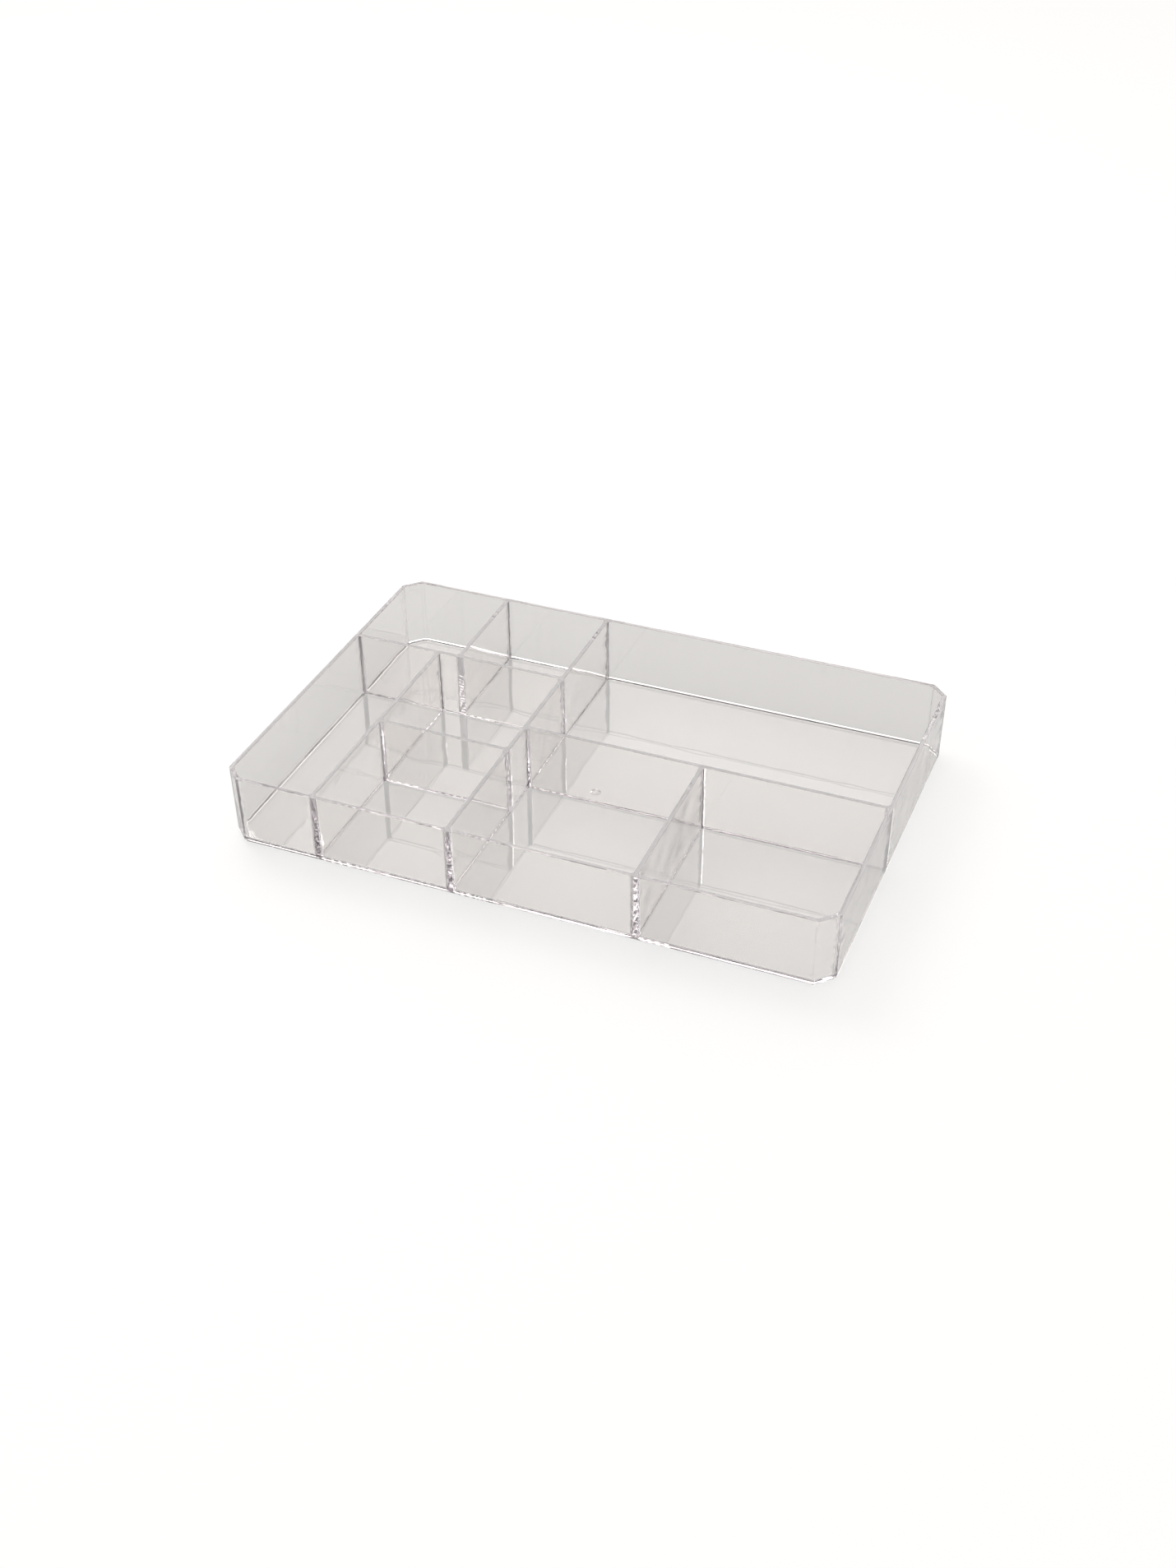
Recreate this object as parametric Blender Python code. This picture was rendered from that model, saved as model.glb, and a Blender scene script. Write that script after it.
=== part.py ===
"""Clear plastic storage tray with eight fixed compartments on a stepped base.

The outline is a rectangle with its four corners cut at 45 degrees. Eight walls follow that
outline and lean out slightly towards the rim. Seven dividers, level with the rim, part the
space inside. Everything stands on one floor plate, set in from the walls' outer faces.

Frame: metres, +X along the length, +Y towards the back, +Z up.
The origin is on the underside, at the centre of the footprint.
"""

import math

import bmesh
import bpy

# Overall sizes, outside faces at the rim
tray_length = 0.3048
tray_depth = 0.2032
tray_height = 0.0376

# Outer walls
wall_thickness = 0.0022
wall_lean = 0.0005  # how far a wall's foot lies inside its rim
corner_cut = 0.0082  # leg of each cut corner, measured along the side
rim_round = 0.0003

# Floor plate
floor_thickness = 0.0019
wall_seat_width = 0.0008  # how much of each wall stands over the plate
gate_mark_diameter = 0.005
gate_mark_depth = 0.0004

# Dividers, thinner at the rim than at the floor
divider_rim_thickness = 0.0021
divider_floor_thickness = 0.0026

# Clear widths and depths of the compartments at the rim
left_cell_width = 0.0453
centre_cell_width = 0.0678
back_left_cell_width = 0.0571
back_cell_depth = 0.0602
front_cell_depth = 0.0677
right_front_cell_depth = 0.0888

# Gap at every joint, and how far a cutter runs past the surface that it cuts
joint_gap = 0.0003
cut_overrun = 0.001

round_segments = 2
circle_segments = 32

# Colours of the clear plastic seen over a white surface, linear, and its surface values
floor_colour = (0.72, 0.69, 0.67, 1)
wall_colour = (0.79, 0.77, 0.75, 1)
divider_colour = (0.75, 0.73, 0.72, 1)
plastic_roughness = 0.05
plastic_metallic = 0
plastic_refraction = 1.59

# Levels and faces that the pieces share
foot_level = floor_thickness + joint_gap
half_divider = divider_rim_thickness / 2
right_face = tray_length / 2 - wall_thickness
back_face = tray_depth / 2 - wall_thickness
left_face = -right_face
front_face = -back_face

# Centre lines of the dividers
left_long_x = left_face + left_cell_width + half_divider
full_depth_x = left_long_x + half_divider + centre_cell_width + half_divider
back_left_x = left_face + back_left_cell_width + half_divider
front_right_x = (full_depth_x + half_divider + right_face) / 2
back_row_y = back_face - back_cell_depth - half_divider
front_row_y = front_face + front_cell_depth + half_divider
right_row_y = front_face + right_front_cell_depth + half_divider


def clear_scene():
    """Remove every object of the start scene."""
    for thing in list(bpy.data.objects):
        bpy.data.objects.remove(thing, do_unlink=True)


def descent(level):
    """Return 0 at the rim and 1 at the feet of the walls."""
    return (tray_height - level) / (tray_height - foot_level)


def outline(level, inset):
    """Return the corners of the tray's plan at a level, moved in from the walls' outer faces."""
    lean = wall_lean * descent(level)
    half_x = tray_length / 2 - lean - inset
    half_y = tray_depth / 2 - lean - inset
    cut = corner_cut - inset * (2 - math.sqrt(2))
    corners = []
    for x_side, y_side in ((-1, -1), (1, -1), (1, 1), (-1, 1)):
        along_x = (x_side * (half_x - cut), y_side * half_y)
        along_y = (x_side * half_x, y_side * (half_y - cut))
        first_is_x = x_side * y_side < 0
        corners += [along_x, along_y] if first_is_x else [along_y, along_x]
    return corners


def moved_towards(start, end, distance):
    """Return the point at a distance from start, in the direction of end."""
    length = math.dist(start, end)
    return tuple(a + (b - a) * distance / length for a, b in zip(start, end))


def wall_plan(side, level):
    """Return one wall's plan at a level: outer start, outer end, inner end, inner start."""
    outer = outline(level, 0)
    inner = outline(level, wall_thickness)
    following = (side + 1) % len(outer)
    half_mitre = math.pi / len(outer)
    pull_back = joint_gap / 2 / math.cos(half_mitre)
    return [
        moved_towards(outer[side], outer[following], pull_back),
        moved_towards(outer[following], outer[side], pull_back),
        moved_towards(inner[following], inner[side], pull_back),
        moved_towards(inner[side], inner[following], pull_back),
    ]


def divider_half(level):
    """Return half of a divider's thickness at a level."""
    growth = divider_floor_thickness - divider_rim_thickness
    return (divider_rim_thickness + growth * descent(level)) / 2


def wall_stop(face, level):
    """Return where a divider ends short of the outer wall whose inner face at the rim is given."""
    inwards = -math.copysign(1, face)
    return face + inwards * (wall_lean * descent(level) + joint_gap)


def divider_stop(centre, inwards, level):
    """Return where a divider ends short of another one, on that one's side given by inwards."""
    return centre + inwards * (divider_half(level) + joint_gap)


def divider_plan(runs_along_x, centre, start, end, level):
    """Return a divider's plan at a level, from its centre line and its two ends."""
    half = divider_half(level)
    if runs_along_x:
        return [(start, centre - half), (end, centre - half), (end, centre + half), (start, centre + half)]
    return [(centre + half, start), (centre + half, end), (centre - half, end), (centre - half, start)]


def clear_plastic(name, colour):
    """Make one piece's material: glossy clear moulded plastic."""
    material = bpy.data.materials.new(name + "_plastic")
    material.use_nodes = True
    surface = material.node_tree.nodes["Principled BSDF"]
    surface.inputs["Base Color"].default_value = colour
    surface.inputs["Roughness"].default_value = plastic_roughness
    surface.inputs["Metallic"].default_value = plastic_metallic
    surface.inputs["IOR"].default_value = plastic_refraction
    surface.inputs["Transmission Weight"].default_value = 1
    return material


def raised_plan(lower, upper, height):
    """Extrude the lower plan by a height into the upper plan and return the closed body."""
    body = bmesh.new()
    ring = [body.verts.new((x, y, 0)) for x, y in lower]
    base = body.faces.new(ring)
    raised = bmesh.ops.extrude_face_region(body, geom=[base])["geom"]
    for vertex in (item for item in raised if isinstance(item, bmesh.types.BMVert)):
        index = min(range(len(lower)), key=lambda i: math.dist(lower[i], vertex.co.xy))
        vertex.co = (*upper[index], height)
    bmesh.ops.recalc_face_normals(body, faces=body.faces)
    return body


def round_rim(body, upper, height):
    """Round the two long edges of a panel's rim."""
    first_edge = [upper[0], upper[1]]
    second_edge = [upper[2], upper[3]]
    chosen = []
    for edge in body.edges:
        if any(vertex.co.z < height / 2 for vertex in edge.verts):
            continue
        middle = ((edge.verts[0].co + edge.verts[1].co) / 2).xy
        for start, end in (first_edge, second_edge):
            target = [(a + b) / 2 for a, b in zip(start, end)]
            if math.dist(middle, target) < rim_round:
                chosen.append(edge)
    bmesh.ops.bevel(
        body,
        geom=chosen,
        offset=rim_round,
        segments=round_segments,
        profile=0.5,
        affect="EDGES",
    )


def add_piece(name, lower, upper, bottom, top, colour, parent, rounded):
    """Make one named piece between two plans and place it by its own origin."""
    centre_x = sum(x for x, _ in lower) / len(lower)
    centre_y = sum(y for _, y in lower) / len(lower)
    local_lower = [(x - centre_x, y - centre_y) for x, y in lower]
    local_upper = [(x - centre_x, y - centre_y) for x, y in upper]
    body = raised_plan(local_lower, local_upper, top - bottom)
    if rounded:
        round_rim(body, local_upper, top - bottom)
    mesh = bpy.data.meshes.new(name)
    body.to_mesh(mesh)
    body.free()
    piece = bpy.data.objects.new(name, mesh)
    bpy.context.collection.objects.link(piece)
    piece.parent = parent
    piece.location = (centre_x, centre_y, bottom)
    mesh.materials.append(clear_plastic(name, colour))
    return piece


def add_floor_plate(parent):
    """Make the floor plate, with the shallow round gate mark in the middle of its underside."""
    plan = outline(foot_level, wall_thickness - wall_seat_width)
    plate = add_piece("floor_plate", plan, plan, 0, floor_thickness, floor_colour, parent, False)
    bpy.ops.mesh.primitive_cylinder_add(
        vertices=circle_segments,
        radius=gate_mark_diameter / 2,
        depth=gate_mark_depth + cut_overrun,
        location=(0, 0, (gate_mark_depth - cut_overrun) / 2),
    )
    cutter = bpy.context.object
    cutter.name = "gate_mark_cutter"
    cutter.hide_render = True
    cutter.display_type = "WIRE"
    cut = plate.modifiers.new("gate_mark", "BOOLEAN")
    cut.object = cutter
    cut.operation = "DIFFERENCE"
    cut.solver = "EXACT"
    return plate


def add_walls(parent):
    """Make the eight mitred walls round the outline, starting at the left front corner."""
    names = (
        "front_left_corner_wall",
        "front_wall",
        "front_right_corner_wall",
        "right_wall",
        "back_right_corner_wall",
        "back_wall",
        "back_left_corner_wall",
        "left_wall",
    )
    for side, name in enumerate(names):
        lower = wall_plan(side, foot_level)
        upper = wall_plan(side, tray_height)
        add_piece(name, lower, upper, foot_level, tray_height, wall_colour, parent, True)


def divider_ends(level):
    """Return each divider's name, direction, centre line and two ends at a level."""
    left_wall = wall_stop(left_face, level)
    right_wall = wall_stop(right_face, level)
    front_wall = wall_stop(front_face, level)
    back_wall = wall_stop(back_face, level)
    before_back_row = divider_stop(back_row_y, -1, level)
    behind_back_row = divider_stop(back_row_y, 1, level)
    before_right_row = divider_stop(right_row_y, -1, level)
    right_of_left_long = divider_stop(left_long_x, 1, level)
    left_of_full_depth = divider_stop(full_depth_x, -1, level)
    right_of_full_depth = divider_stop(full_depth_x, 1, level)
    return (
        ("full_depth_divider", False, full_depth_x, front_wall, back_wall),
        ("left_long_divider", False, left_long_x, front_wall, before_back_row),
        ("front_right_divider", False, front_right_x, front_wall, before_right_row),
        ("back_left_divider", False, back_left_x, behind_back_row, back_wall),
        ("back_row_divider", True, back_row_y, left_wall, left_of_full_depth),
        ("front_row_divider", True, front_row_y, right_of_left_long, left_of_full_depth),
        ("right_row_divider", True, right_row_y, right_of_full_depth, right_wall),
    )


def add_dividers(parent):
    """Make the seven dividers, each butting against the walls or dividers that it meets."""
    for at_foot, at_rim in zip(divider_ends(foot_level), divider_ends(tray_height)):
        lower = divider_plan(*at_foot[1:], foot_level)
        upper = divider_plan(*at_rim[1:], tray_height)
        add_piece(at_foot[0], lower, upper, foot_level, tray_height, divider_colour, parent, True)


def build_tray():
    """Model the whole tray under one empty that stands at the origin."""
    clear_scene()
    frame = bpy.data.objects.new("tray_frame", None)
    bpy.context.collection.objects.link(frame)
    add_floor_plate(frame)
    add_walls(frame)
    add_dividers(frame)


build_tray()
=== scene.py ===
import math

import bmesh
import bpy
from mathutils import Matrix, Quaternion, Vector


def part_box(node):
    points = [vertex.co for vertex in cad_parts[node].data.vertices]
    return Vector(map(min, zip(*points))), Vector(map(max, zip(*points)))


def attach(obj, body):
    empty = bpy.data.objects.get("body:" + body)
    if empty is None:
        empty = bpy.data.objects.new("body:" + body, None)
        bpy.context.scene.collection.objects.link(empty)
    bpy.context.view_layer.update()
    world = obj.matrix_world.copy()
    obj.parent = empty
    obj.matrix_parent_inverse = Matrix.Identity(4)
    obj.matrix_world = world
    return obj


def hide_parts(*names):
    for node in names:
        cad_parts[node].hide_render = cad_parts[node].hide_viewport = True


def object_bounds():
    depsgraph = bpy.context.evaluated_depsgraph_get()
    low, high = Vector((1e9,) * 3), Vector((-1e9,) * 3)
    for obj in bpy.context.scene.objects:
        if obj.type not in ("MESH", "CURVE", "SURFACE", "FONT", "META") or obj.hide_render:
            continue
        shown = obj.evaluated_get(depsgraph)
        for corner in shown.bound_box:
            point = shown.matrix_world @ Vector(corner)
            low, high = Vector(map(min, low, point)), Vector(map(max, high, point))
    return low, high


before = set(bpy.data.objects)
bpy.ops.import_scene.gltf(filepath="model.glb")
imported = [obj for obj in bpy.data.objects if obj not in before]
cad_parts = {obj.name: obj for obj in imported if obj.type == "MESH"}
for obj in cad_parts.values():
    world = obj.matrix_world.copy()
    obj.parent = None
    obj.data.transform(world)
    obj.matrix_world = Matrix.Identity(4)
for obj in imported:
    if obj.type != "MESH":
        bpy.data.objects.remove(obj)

cadLow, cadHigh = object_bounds()
panels = sorted(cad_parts)
rimLevel = cadHigh.z
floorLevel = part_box("floor_plate")[1].z  # also the walls' lower edge
scene = bpy.context.scene
print("loaded", len(panels), "panels")


# camera, where the photograph was taken from
cameraPlace = {
    "position": (0.3050, -0.7534, 0.5853),
    "target": (-0.0069, 0.0054, 0.0),
    "roll": -0.463,  # degrees
    "lens": 45.787,  # mm
    "sensor": 36,  # mm, the picture's long side
    "clipStart": 0.02,
}


def placeCamera(place):
    bpy.ops.object.camera_add(location=place["position"])
    camera = bpy.context.object
    camera.name = "photoCamera"
    look = Vector(place["target"]) - Vector(place["position"])
    roll = Quaternion((0, 0, 1), math.radians(place["roll"]))
    camera.rotation_mode = "QUATERNION"
    camera.rotation_quaternion = look.to_track_quat("-Z", "Y") @ roll
    camera.data.lens = place["lens"]
    camera.data.sensor_width = place["sensor"]
    camera.data.clip_start = place["clipStart"]
    return camera


scene.camera = placeCamera(cameraPlace)
print("camera placed")


# material helpers
def linearColor(hexText):
    channels = []
    for start in (0, 2, 4):
        value = int(hexText[start : start + 2], 16) / 255
        channels.append(value / 12.92 if value <= 0.04045 else ((value + 0.055) / 1.055) ** 2.4)
    return (*channels, 1)


def newMaterial(name):
    material = bpy.data.materials.new(name)
    material.use_nodes = True
    material.node_tree.nodes.clear()
    return material


def addNode(tree, kind, settings=None, inputs=None, links=None):
    node = tree.nodes.new(kind)
    for key, value in (settings or {}).items():
        setattr(node, key, value)
    for key, value in (inputs or {}).items():
        node.inputs[key].default_value = value
    for key, source in (links or {}).items():
        tree.links.new(source, node.inputs[key])
    return node


# modelling helpers, and the limits by which they tell edges and faces apart
selectionLimits = {
    "uprightRise": 0.01,  # an edge that rises by more than this is upright
    "facing": 0.9,  # least part of its normal with which a face faces up or down
    "nearby": 0.001,
    "sameLevel": 1e-6,
    "rimAngle": 0.5,  # radians, between the two faces at a rim's edge
}


def deselectAll():
    bpy.ops.object.select_all(action="DESELECT")


def pickOut(piece):
    deselectAll()
    piece.select_set(True)
    bpy.context.view_layer.objects.active = piece


def startEdit(piece, kind):
    pickOut(piece)
    bpy.ops.object.mode_set(mode="EDIT")
    bpy.ops.mesh.select_mode(type=kind)
    bpy.ops.mesh.select_all(action="DESELECT")


def endEdit():
    bpy.ops.object.mode_set(mode="OBJECT")


def selectEdges(piece, wanted):
    bpy.ops.mesh.select_all(action="DESELECT")
    shape = bmesh.from_edit_mesh(piece.data)
    for edge in shape.edges:
        if wanted(edge):
            edge.select_set(True)
    bmesh.update_edit_mesh(piece.data)


def selectFaces(piece, wanted):
    bpy.ops.mesh.select_all(action="DESELECT")
    shape = bmesh.from_edit_mesh(piece.data)
    for face in shape.faces:
        if wanted(face):
            face.select_set(True)
    bmesh.update_edit_mesh(piece.data)


def edgeMiddle(edge):
    return (edge.verts[0].co + edge.verts[1].co) / 2


def isUpright(edge):
    return abs(edge.verts[0].co.z - edge.verts[1].co.z) > selectionLimits["uprightRise"]


def facesDown(face):
    return face.normal.z < -selectionLimits["facing"]


def facesUp(face):
    return face.normal.z > selectionLimits["facing"]


def isRimEdge(edge):
    if any(abs(vertex.co.z - rimLevel) > selectionLimits["sameLevel"] for vertex in edge.verts):
        return False
    return len(edge.link_faces) == 2 and edge.calc_face_angle(0) > selectionLimits["rimAngle"]


def addBlock(name, low, high):
    low = Vector(low)
    high = Vector(high)
    deselectAll()
    bpy.ops.mesh.primitive_cube_add(size=1, location=(low + high) / 2)
    block = bpy.context.object
    block.name = name
    block.scale = high - low
    bpy.ops.object.transform_apply(location=True, rotation=True, scale=True)
    return block


def applyModifiers(piece):
    pickOut(piece)
    for modifier in list(piece.modifiers):
        bpy.ops.object.modifier_apply(modifier=modifier.name)


# the tray, one clear moulding
mouldingShape = {
    "cornerCut": 0.0082,  # leg of each cut corner, outside
    "innerCornerCut": 0.0069,  # the same on the compartments' side
    "wallLean": 0.0005,  # the walls' feet lie this far inside their rims
    "dividerLean": 0.00025,  # each face of a divider leans by this much
    "baseInset": 0.0014,
    "outerEdgeRound": 0.0006,
    "outerEdgeSegments": 4,
    "rimRound": 0.0001,
    "rimSegments": 3,
    "cornerFillet": 0.0017,
    "wallFootFillet": 0.0013,
    "dividerFootFillet": 0.0003,
    "filletSegments": 5,
    "gateMarkDiameter": 0.005,
    "gateMarkDepth": 0.0002,
    "gateMarkEdge": 0.4,  # round of its edge, as a part of its depth
    "gateMarkEdgeSegments": 3,
    "gateMarkDimple": 0.62,  # width of the ring round its dimple, as a part of its radius
    "gateMarkDimpleDrop": 0.5,  # as a part of its depth
    "gateMarkSides": 48,
    "overrun": 0.001,  # how far a cutter runs past the surface that it cuts
    "smoothAngle": 35,  # degrees
    "normalWeight": 100,
}

# what the mould and the cooling leave: faces a little wavy, and rippled fillets
# that break the light into streaks
mouldRelief = {
    "step": 0.004,  # mesh size along the tray
    "riseStep": 0.0012,  # mesh size up the walls
    "endRoom": 0.003,  # no row along the tray is cut this near to a compartment's sides
    "waveHeight": 0.00012,
    "waveLength": 0.022,
    "rippleHeight": 0.0006,
    "rippleLength": 0.004,
    "filletReach": 0.0027,  # how far the fillets run from a compartment's corner
    "rimFade": 0.006,  # the rims are straight, and the waves grow from there over this height
}

# what stands on each compartment's left, right, front and back
compartments = {
    "leftFront": ("left_wall", "left_long_divider", "front_wall", "back_row_divider"),
    "backLeft": ("left_wall", "back_left_divider", "back_row_divider", "back_wall"),
    "backMiddle": ("back_left_divider", "full_depth_divider", "back_row_divider", "back_wall"),
    "frontSquare": ("left_long_divider", "full_depth_divider", "front_wall", "front_row_divider"),
    "middleSquare": ("left_long_divider", "full_depth_divider", "front_row_divider", "back_row_divider"),
    "frontCentre": ("full_depth_divider", "front_right_divider", "front_wall", "right_row_divider"),
    "frontRight": ("front_right_divider", "right_wall", "front_wall", "right_row_divider"),
    "backRight": ("full_depth_divider", "right_wall", "right_row_divider", "back_wall"),
}

# where the cut corner lies in the compartments that have one, along x and y
cutCorners = {
    "leftFront": (-1, -1),
    "backLeft": (-1, 1),
    "frontRight": (1, -1),
    "backRight": (1, 1),
}


def makeBody(shape):
    body = addBlock("trayMoulding", (cadLow.x, cadLow.y, floorLevel), cadHigh)
    startEdit(body, "EDGE")
    selectEdges(body, isUpright)
    bpy.ops.mesh.bevel(offset=shape["cornerCut"], segments=1)
    bpy.ops.mesh.select_mode(type="FACE")
    selectFaces(body, facesDown)
    lean = shape["wallLean"]
    size = cadHigh - cadLow
    bpy.ops.transform.resize(value=(1 - 2 * lean / size.x, 1 - 2 * lean / size.y, 1))
    bpy.ops.mesh.select_mode(type="EDGE")
    selectEdges(body, isUpright)
    bpy.ops.mesh.bevel(offset=shape["outerEdgeRound"], segments=shape["outerEdgeSegments"])
    bpy.ops.mesh.select_mode(type="FACE")
    selectFaces(body, facesDown)
    bpy.ops.mesh.inset(thickness=shape["baseInset"])
    bpy.ops.mesh.extrude_region_move(TRANSFORM_OT_translate={"value": (0, 0, cadLow.z - floorLevel)})
    endEdit()
    return body


def innerFaces(sides):
    left, right, front, back = sides
    low = (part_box(left)[1].x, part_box(front)[1].y)
    high = (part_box(right)[0].x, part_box(back)[0].y)
    return low, high


def leanOf(panel, shape):
    return shape["wallLean"] if panel.endswith("wall") else shape["dividerLean"]


def widestFillet(shape):
    return max(shape["cornerFillet"], shape["wallFootFillet"], shape["dividerFootFillet"])


def leanOutwards(cutter, sides, low, high, topLevel, shape):
    # the cutter's upper edges move out, past the rim by the overrun's share of the lean
    growth = 1 + shape["overrun"] / (rimLevel - floorLevel)
    for panel, (axis, side) in zip(sides, ((0, -1), (0, 1), (1, -1), (1, 1))):
        place = (low, high)[side > 0][axis]

        def isUpperEdge(edge):
            middle = edgeMiddle(edge)
            if isUpright(edge) or middle.z < topLevel - selectionLimits["nearby"]:
                return False
            return abs(middle[axis] - place) < selectionLimits["nearby"]

        selectEdges(cutter, isUpperEdge)
        move = [0, 0, 0]
        move[axis] = side * leanOf(panel, shape) * growth
        bpy.ops.transform.translate(value=move)


def cutCornerOff(cutter, corner, low, high, shape):
    middle = ((low[0] + high[0]) / 2, (low[1] + high[1]) / 2)

    def isAtCorner(edge):
        away = edgeMiddle(edge).xy - Vector(middle)
        return isUpright(edge) and away.x * corner[0] > 0 and away.y * corner[1] > 0

    selectEdges(cutter, isAtCorner)
    bpy.ops.mesh.bevel(offset=shape["innerCornerCut"], segments=1)


def weighFillets(cutter, sides, low, high, shape):
    # one bevel makes all fillets, and each edge's weight is its share of the widest one
    full = widestFillet(shape)
    cutterMesh = bmesh.from_edit_mesh(cutter.data)
    weight = cutterMesh.edges.layers.float.new("bevel_weight_edge")
    for edge in cutterMesh.edges:
        middle = edgeMiddle(edge)
        if isUpright(edge):
            edge[weight] = shape["cornerFillet"] / full
        elif middle.z < floorLevel + selectionLimits["nearby"]:
            gaps = (middle.x - low[0], high[0] - middle.x, middle.y - low[1], high[1] - middle.y)
            besides = [panel for panel, gap in zip(sides, gaps) if gap < selectionLimits["nearby"]]
            isDivider = bool(besides) and not besides[0].endswith("wall")
            edge[weight] = shape["dividerFootFillet" if isDivider else "wallFootFillet"] / full
    bmesh.update_edit_mesh(cutter.data)


def cutInRows(cutter, low, high, topLevel, relief):
    spans = (
        (0, low[0], high[0], relief["step"]),
        (1, low[1], high[1], relief["step"]),
        (2, floorLevel, topLevel, relief["riseStep"]),
    )
    startEdit(cutter, "EDGE")
    for axis, start, end, step in spans:
        count = round((end - start) / step)
        for index in range(1, count):
            place = [0, 0, 0]
            place[axis] = start + (end - start) * index / count
            isNearEnd = min(place[axis] - start, end - place[axis]) < relief["endRoom"]
            if isNearEnd and axis < 2:
                continue
            facing = [0, 0, 0]
            facing[axis] = 1
            bpy.ops.mesh.select_all(action="SELECT")
            bpy.ops.mesh.bisect(plane_co=place, plane_no=facing)
    endEdit()


def filletCorners(corner, low, high, shape):
    points = [(x, y) for x in (low[0], high[0]) for y in (low[1], high[1])]
    if corner:
        cut = shape["innerCornerCut"]
        x = (low, high)[corner[0] > 0][0]
        y = (low, high)[corner[1] > 0][1]
        points += [(x - corner[0] * cut, y), (x, y - corner[1] * cut)]
    return points


def addRelief(cutter, points, relief):
    panes = cutter.vertex_groups.new(name="panes")
    fillets = cutter.vertex_groups.new(name="fillets")
    for vertex in cutter.data.vertices:
        share = max(0, min(1, (rimLevel - vertex.co.z) / relief["rimFade"]))
        panes.add([vertex.index], share, "REPLACE")
        near = min(math.dist(vertex.co.xy, point) for point in points)
        if near < relief["filletReach"]:
            fillets.add([vertex.index], share, "REPLACE")
    for name, height, length, group in (
        ("waves", relief["waveHeight"], relief["waveLength"], "panes"),
        ("ripples", relief["rippleHeight"], relief["rippleLength"], "fillets"),
    ):
        pattern = bpy.data.textures.new(name, "CLOUDS")
        pattern.noise_scale = length
        push = cutter.modifiers.new(name, "DISPLACE")
        push.texture = pattern
        push.texture_coords = "LOCAL"
        push.strength = height
        push.mid_level = 0.5
        push.vertex_group = group
    applyModifiers(cutter)


def makeCutter(name, sides, shape, relief):
    low, high = innerFaces(sides)
    corner = cutCorners.get(name)
    topLevel = rimLevel + shape["overrun"]
    cutter = addBlock(name + "Cutter", (*low, floorLevel), (*high, topLevel))
    startEdit(cutter, "EDGE")
    leanOutwards(cutter, sides, low, high, topLevel, shape)
    if corner:
        cutCornerOff(cutter, corner, low, high, shape)
    weighFillets(cutter, sides, low, high, shape)
    endEdit()
    fillets = cutter.modifiers.new("fillets", "BEVEL")
    fillets.limit_method = "WEIGHT"
    fillets.width = widestFillet(shape)
    fillets.segments = shape["filletSegments"]
    fillets.use_clamp_overlap = False
    applyModifiers(cutter)
    cutInRows(cutter, low, high, topLevel, relief)
    addRelief(cutter, filletCorners(corner, low, high, shape), relief)
    return cutter


def makeGateCutter(shape):
    radius = shape["gateMarkDiameter"] / 2
    depth = shape["gateMarkDepth"]
    below = shape["overrun"]
    deselectAll()
    bpy.ops.mesh.primitive_cylinder_add(
        vertices=shape["gateMarkSides"],
        radius=radius,
        depth=depth + below,
        location=(0, 0, (depth - below) / 2),
    )
    cutter = bpy.context.object
    cutter.name = "gateCutter"
    startEdit(cutter, "FACE")
    selectFaces(cutter, facesUp)
    bpy.ops.mesh.bevel(offset=depth * shape["gateMarkEdge"], segments=shape["gateMarkEdgeSegments"])
    selectFaces(cutter, facesUp)
    bpy.ops.mesh.inset(thickness=radius * shape["gateMarkDimple"])
    bpy.ops.transform.translate(value=(0, 0, -depth * shape["gateMarkDimpleDrop"]))
    endEdit()
    pickOut(cutter)
    bpy.ops.object.transform_apply(location=True, rotation=True, scale=True)
    return cutter


def makeMoulding(shape, relief):
    body = makeBody(shape)
    cutters = [makeCutter(name, sides, shape, relief) for name, sides in compartments.items()]
    cutters.append(makeGateCutter(shape))
    print("compartment cutters made")
    cutter = cutters[0]
    deselectAll()
    for other in cutters:
        other.select_set(True)
    bpy.context.view_layer.objects.active = cutter
    bpy.ops.object.join()
    cut = body.modifiers.new("compartments", "BOOLEAN")
    cut.object = cutter
    cut.operation = "DIFFERENCE"
    cut.solver = "EXACT"
    applyModifiers(body)
    bpy.data.objects.remove(cutter)
    print("compartments cut:", len(body.data.polygons), "faces")
    startEdit(body, "EDGE")
    selectEdges(body, isRimEdge)
    bpy.ops.mesh.bevel(offset=shape["rimRound"], segments=shape["rimSegments"])
    endEdit()
    pickOut(body)
    bpy.ops.object.shade_smooth_by_angle(angle=math.radians(shape["smoothAngle"]))
    normals = body.modifiers.new("normals", "WEIGHTED_NORMAL")
    normals.keep_sharp = True
    normals.weight = shape["normalWeight"]
    applyModifiers(body)
    return body


moulding = makeMoulding(mouldingShape, mouldRelief)
print("moulding made:", len(moulding.data.polygons), "faces")


# clear polystyrene, injection moulded: glassy and almost colourless face on
polystyreneLook = {
    "tint": "FFFEFD",
    "roughness": 0.0,
    "refraction": 1.59,
    "depthTint": "D2CFD3",  # where light runs far inside, the bars and the rims turn lavender grey
    "depthDensity": 17,
}


def clearPolystyrene(look):
    material = newMaterial("clearPolystyreneMoulded")
    tree = material.node_tree
    plastic = addNode(tree, "ShaderNodeBsdfPrincipled", None, {
        "Base Color": linearColor(look["tint"]),
        "Roughness": look["roughness"],
        "IOR": look["refraction"],
        "Transmission Weight": 1,
    })
    depth = addNode(tree, "ShaderNodeVolumeAbsorption", None, {
        "Color": linearColor(look["depthTint"]),
        "Density": look["depthDensity"],
    })
    addNode(tree, "ShaderNodeOutputMaterial", None, None, {
        "Surface": plastic.outputs["BSDF"],
        "Volume": depth.outputs["Volume"],
    })
    return material


moulding.data.materials.clear()
moulding.data.materials.append(clearPolystyrene(polystyreneLook))
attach(moulding, "root")
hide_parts(*panels)
print("polystyrene set")


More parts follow.
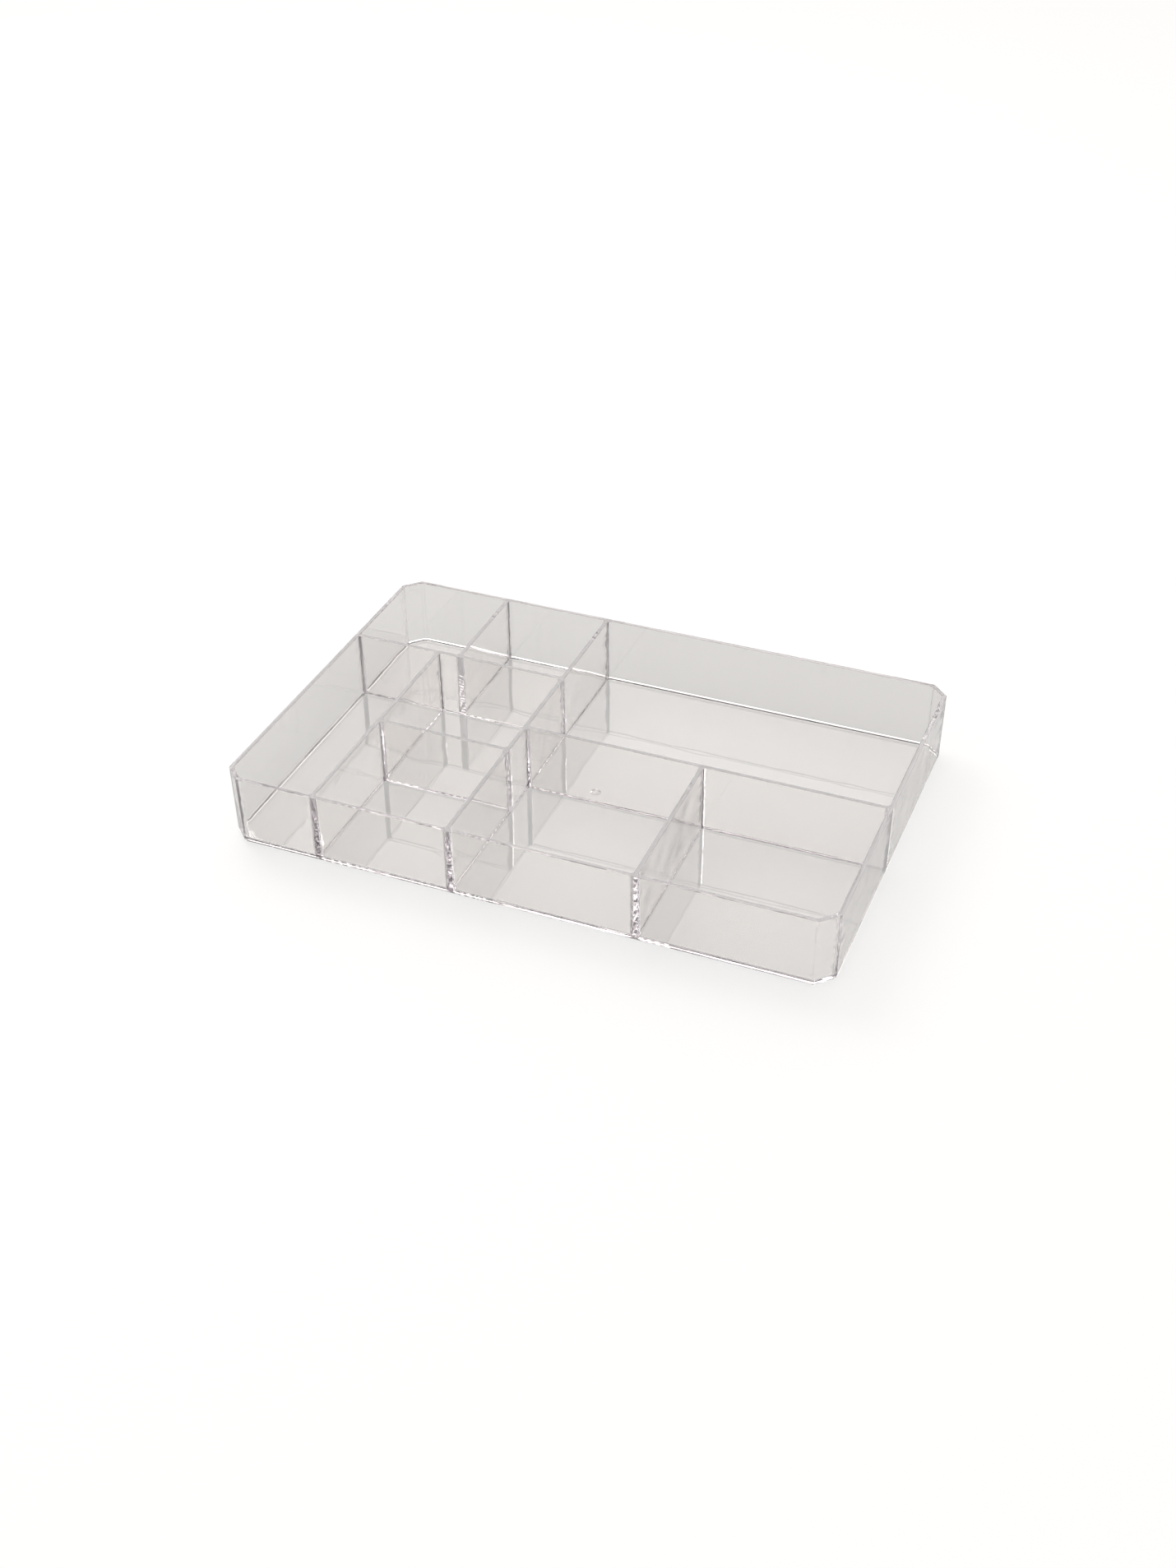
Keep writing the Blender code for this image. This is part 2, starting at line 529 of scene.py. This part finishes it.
# floor: a matte white paper sweep, which the camera sees as white where no shadow falls
floorLook = {
    "size": 8.0,
    "gap": 0.0003,  # below the tray's underside, so that the two faces don't meet
    "paper": "8B8B8A",
    "glow": 0.68,
    "glowThroughPlastic": 0.38,  # behind and mirrored in the tray the sweep looks a light grey
}


def paperFloor(look):
    material = newMaterial("whitePaperSweep")
    tree = material.node_tree
    paper = addNode(tree, "ShaderNodeBsdfDiffuse", None, {"Color": linearColor(look["paper"])})
    path = addNode(tree, "ShaderNodeLightPath")
    direct = addNode(tree, "ShaderNodeMath", {"operation": "MULTIPLY"}, {1: look["glow"]}, {
        0: path.outputs["Is Camera Ray"],
    })
    throughTray = addNode(tree, "ShaderNodeMath", {"operation": "MAXIMUM"}, None, {
        0: path.outputs["Is Glossy Ray"],
        1: path.outputs["Is Transmission Ray"],
    })
    strength = addNode(tree, "ShaderNodeMath", {"operation": "MULTIPLY_ADD"}, {
        1: look["glowThroughPlastic"],
    }, {
        0: throughTray.outputs[0],
        2: direct.outputs[0],
    })
    glow = addNode(tree, "ShaderNodeEmission", None, {"Color": (1, 1, 1, 1)}, {
        "Strength": strength.outputs[0],
    })
    both = addNode(tree, "ShaderNodeAddShader", None, None, {
        0: paper.outputs["BSDF"],
        1: glow.outputs["Emission"],
    })
    addNode(tree, "ShaderNodeOutputMaterial", None, None, {"Surface": both.outputs["Shader"]})
    return material


def addFloor(look):
    deselectAll()
    bpy.ops.mesh.primitive_plane_add(size=look["size"], location=(0, 0, cadLow.z - look["gap"]))
    floor = bpy.context.object
    floor.name = "studioFloor"
    floor.data.materials.append(paperFloor(look))


addFloor(floorLook)
print("floor laid")


# studio: a pale room with a bright part behind the tray, and one large soft box behind on the left
studioLights = {
    "keyBox": {"place": (-0.9, 0.5, 1.2), "size": (0.8, 0.8), "power": 10.5},
}
roomLook = {
    "brightSide": (-0.31, 0.75, 0.58),  # direction from the tray to the room's bright part
    "colour": "FCF7F4",
    "brightLevel": 2.4,
    "dimLevel": 0.9,
    "blendFrom": 0.75,  # cosine of the angle to the bright side where the change starts and ends
    "blendTo": 0.96,
}


def addSoftBox(name, light):
    bpy.ops.object.light_add(type="AREA", location=light["place"])
    box = bpy.context.object
    box.name = name
    box.data.shape = "RECTANGLE"
    box.data.size, box.data.size_y = light["size"]
    box.data.energy = light["power"]
    box.rotation_euler = (-Vector(light["place"])).to_track_quat("-Z", "Y").to_euler()


def addRoom(look):
    world = bpy.data.worlds.new("studioRoom")
    scene.world = world
    world.use_nodes = True
    tree = world.node_tree
    tree.nodes.clear()
    place = addNode(tree, "ShaderNodeTexCoord")
    facing = addNode(tree, "ShaderNodeVectorMath", {"operation": "DOT_PRODUCT"}, {
        1: Vector(look["brightSide"]).normalized(),
    }, {
        0: place.outputs["Generated"],
    })
    level = addNode(tree, "ShaderNodeMapRange", {"interpolation_type": "SMOOTHSTEP"}, {
        "From Min": look["blendFrom"],
        "From Max": look["blendTo"],
        "To Min": look["dimLevel"],
        "To Max": look["brightLevel"],
    }, {
        "Value": facing.outputs["Value"],
    })
    room = addNode(tree, "ShaderNodeBackground", None, {"Color": linearColor(look["colour"])}, {
        "Strength": level.outputs["Result"],
    })
    backdrop = addNode(tree, "ShaderNodeBackground", None, {"Color": (1, 1, 1, 1), "Strength": 1})
    path = addNode(tree, "ShaderNodeLightPath")
    both = addNode(tree, "ShaderNodeMixShader", None, None, {
        0: path.outputs["Is Camera Ray"],
        1: room.outputs["Background"],
        2: backdrop.outputs["Background"],
    })
    addNode(tree, "ShaderNodeOutputWorld", None, None, {"Surface": both.outputs["Shader"]})


for name, light in studioLights.items():
    addSoftBox(name, light)
addRoom(roomLook)
print("studio lit")


# clear plastic needs many bounces: light runs along inside its rims
lightBounces = {
    "inPlastic": 64,
    "diffuse": 6,
}
scene.cycles.max_bounces = lightBounces["inPlastic"]
scene.cycles.glossy_bounces = lightBounces["inPlastic"]
scene.cycles.transmission_bounces = lightBounces["inPlastic"]
scene.cycles.transparent_max_bounces = lightBounces["inPlastic"]
scene.cycles.diffuse_bounces = lightBounces["diffuse"]
scene.view_settings.view_transform = "Standard"
